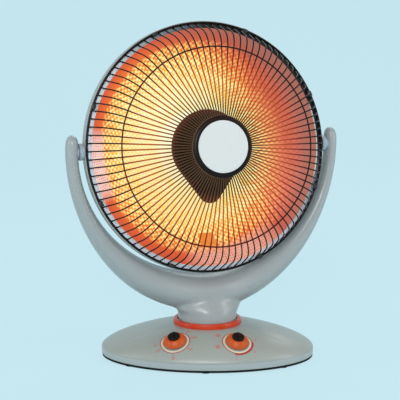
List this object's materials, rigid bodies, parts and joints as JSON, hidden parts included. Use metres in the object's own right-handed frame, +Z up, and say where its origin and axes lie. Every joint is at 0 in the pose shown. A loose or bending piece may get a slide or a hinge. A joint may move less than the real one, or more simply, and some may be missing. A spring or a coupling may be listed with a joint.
{
  "type": "parabolic heater",
  "caption": "Parabolic dish heater with a wire dome guard, tilting in a crescent yoke that swings on an oval base with two dials.",
  "frame": {"origin": "on the floor, below the axis on which the neck swings", "axes": "+Z up, -Y towards the front of the base, +X to the right as seen from the front"},
  "size_m": [0.3919, 0.2131, 0.4917],
  "materials": {
    "body_shell": "satin gloss",
    "base_shell": "satin gloss",
    "black_plastic": "satin",
    "rubber": "matt",
    "orange_plastic": "satin gloss",
    "knob_orange": "satin gloss",
    "cap_black": "gloss",
    "white_plastic": "satin",
    "disc_white": "satin",
    "steel": "plated",
    "iron": "raw",
    "wire_black": "powder coat",
    "hub_black": "satin gloss",
    "shield_dark": "satin",
    "dish_metal": "hammered, bright",
    "ceramic": "glazed ceramic",
    "lamp_glass": "clear",
    "filament": "glowing",
    "pivot_blue": "satin",
    "amber": "gloss"
  },
  "bodies": {
    "base": {"base_cover": "base_shell", "base_plate": "black_plastic", "base_feet": "rubber", "base_screws": "steel", "ballast_weight": "iron", "swivel_collar": "orange_plastic", "swivel_bush": "white_plastic", "swing_motor": "steel", "timer_unit": "white_plastic", "power_switch": "black_plastic", "control_nuts": "steel", "tip_switch": "black_plastic", "terminal_block": "white_plastic", "cord_gland": "rubber"},
    "yoke": {"neck_spindle": "steel", "spindle_screws": "steel", "spindle_nut": "steel", "swing_lever": "steel", "yoke_front": "body_shell", "yoke_rear": "body_shell", "yoke_screws": "steel", "pivot_bushes": "white_plastic"},
    "crank": {"crank_disc": "white_plastic"},
    "timer_dial": {"timer_knob": "knob_orange", "timer_cap": "cap_black", "timer_shaft": "steel"},
    "power_dial": {"power_knob": "knob_orange", "power_cap": "cap_black", "power_shaft": "steel"},
    "plunger": {"tip_plunger": "white_plastic"},
    "head": {"pivot_pins": "pivot_blue", "pivot_nuts": "steel", "rear_shell": "body_shell", "rear_cap": "body_shell", "cap_screws": "steel", "reflector": "dish_metal", "lamp_post": "steel", "lamp_bracket": "steel", "lamp_caps": "ceramic", "lamp_tube": "lamp_glass", "lamp_filament": "filament", "heat_shield": "shield_dark", "shield_posts": "steel", "sensor_plate": "amber", "guard_rim": "wire_black", "guard_wires": "wire_black", "guard_ring": "wire_black", "guard_hub": "hub_black", "hub_disc": "disc_white", "guard_clips": "black_plastic"}
  },
  "joints": [
    {"name": "head_swing", "type": "hinge", "parent": "base", "child": "yoke", "pos_m": [0, 0, 0.05], "axis": [0, 0, 1], "range_deg": [-60.9, 19.1]},
    {"name": "crank_turn", "type": "hinge", "parent": "base", "child": "crank", "pos_m": [0, 0.028, 0.016], "axis": [0, 0, 1], "range_deg": [-198.42, 62.58]},
    {"name": "head_tilt", "type": "hinge", "parent": "yoke", "child": "head", "pos_m": [-0.00285, 0.00747, 0.309], "axis": [0.9342, 0.3567, 0], "range_deg": [-20, 15]},
    {"name": "timer_turn", "type": "hinge", "parent": "base", "child": "timer_dial", "pos_m": [-0.0445, -0.07346, 0.03896], "axis": [-0.1379, -0.4269, 0.8937], "range_deg": [-300, 0]},
    {"name": "power_turn", "type": "hinge", "parent": "base", "child": "power_dial", "pos_m": [0.0445, -0.07346, 0.03896], "axis": [0.1379, -0.4269, 0.8937], "range_deg": [-135, 0]},
    {"name": "tip_press", "type": "slide", "parent": "base", "child": "plunger", "axis": [0, 0, 1], "range_m": [-0.004, 0], "stiffness_N_per_m": 60, "springref_m": -0.006}
  ],
  "couplings": [
    {"joint": "crank_turn", "follows": "head_swing", "ratio": 3.25}
  ]
}
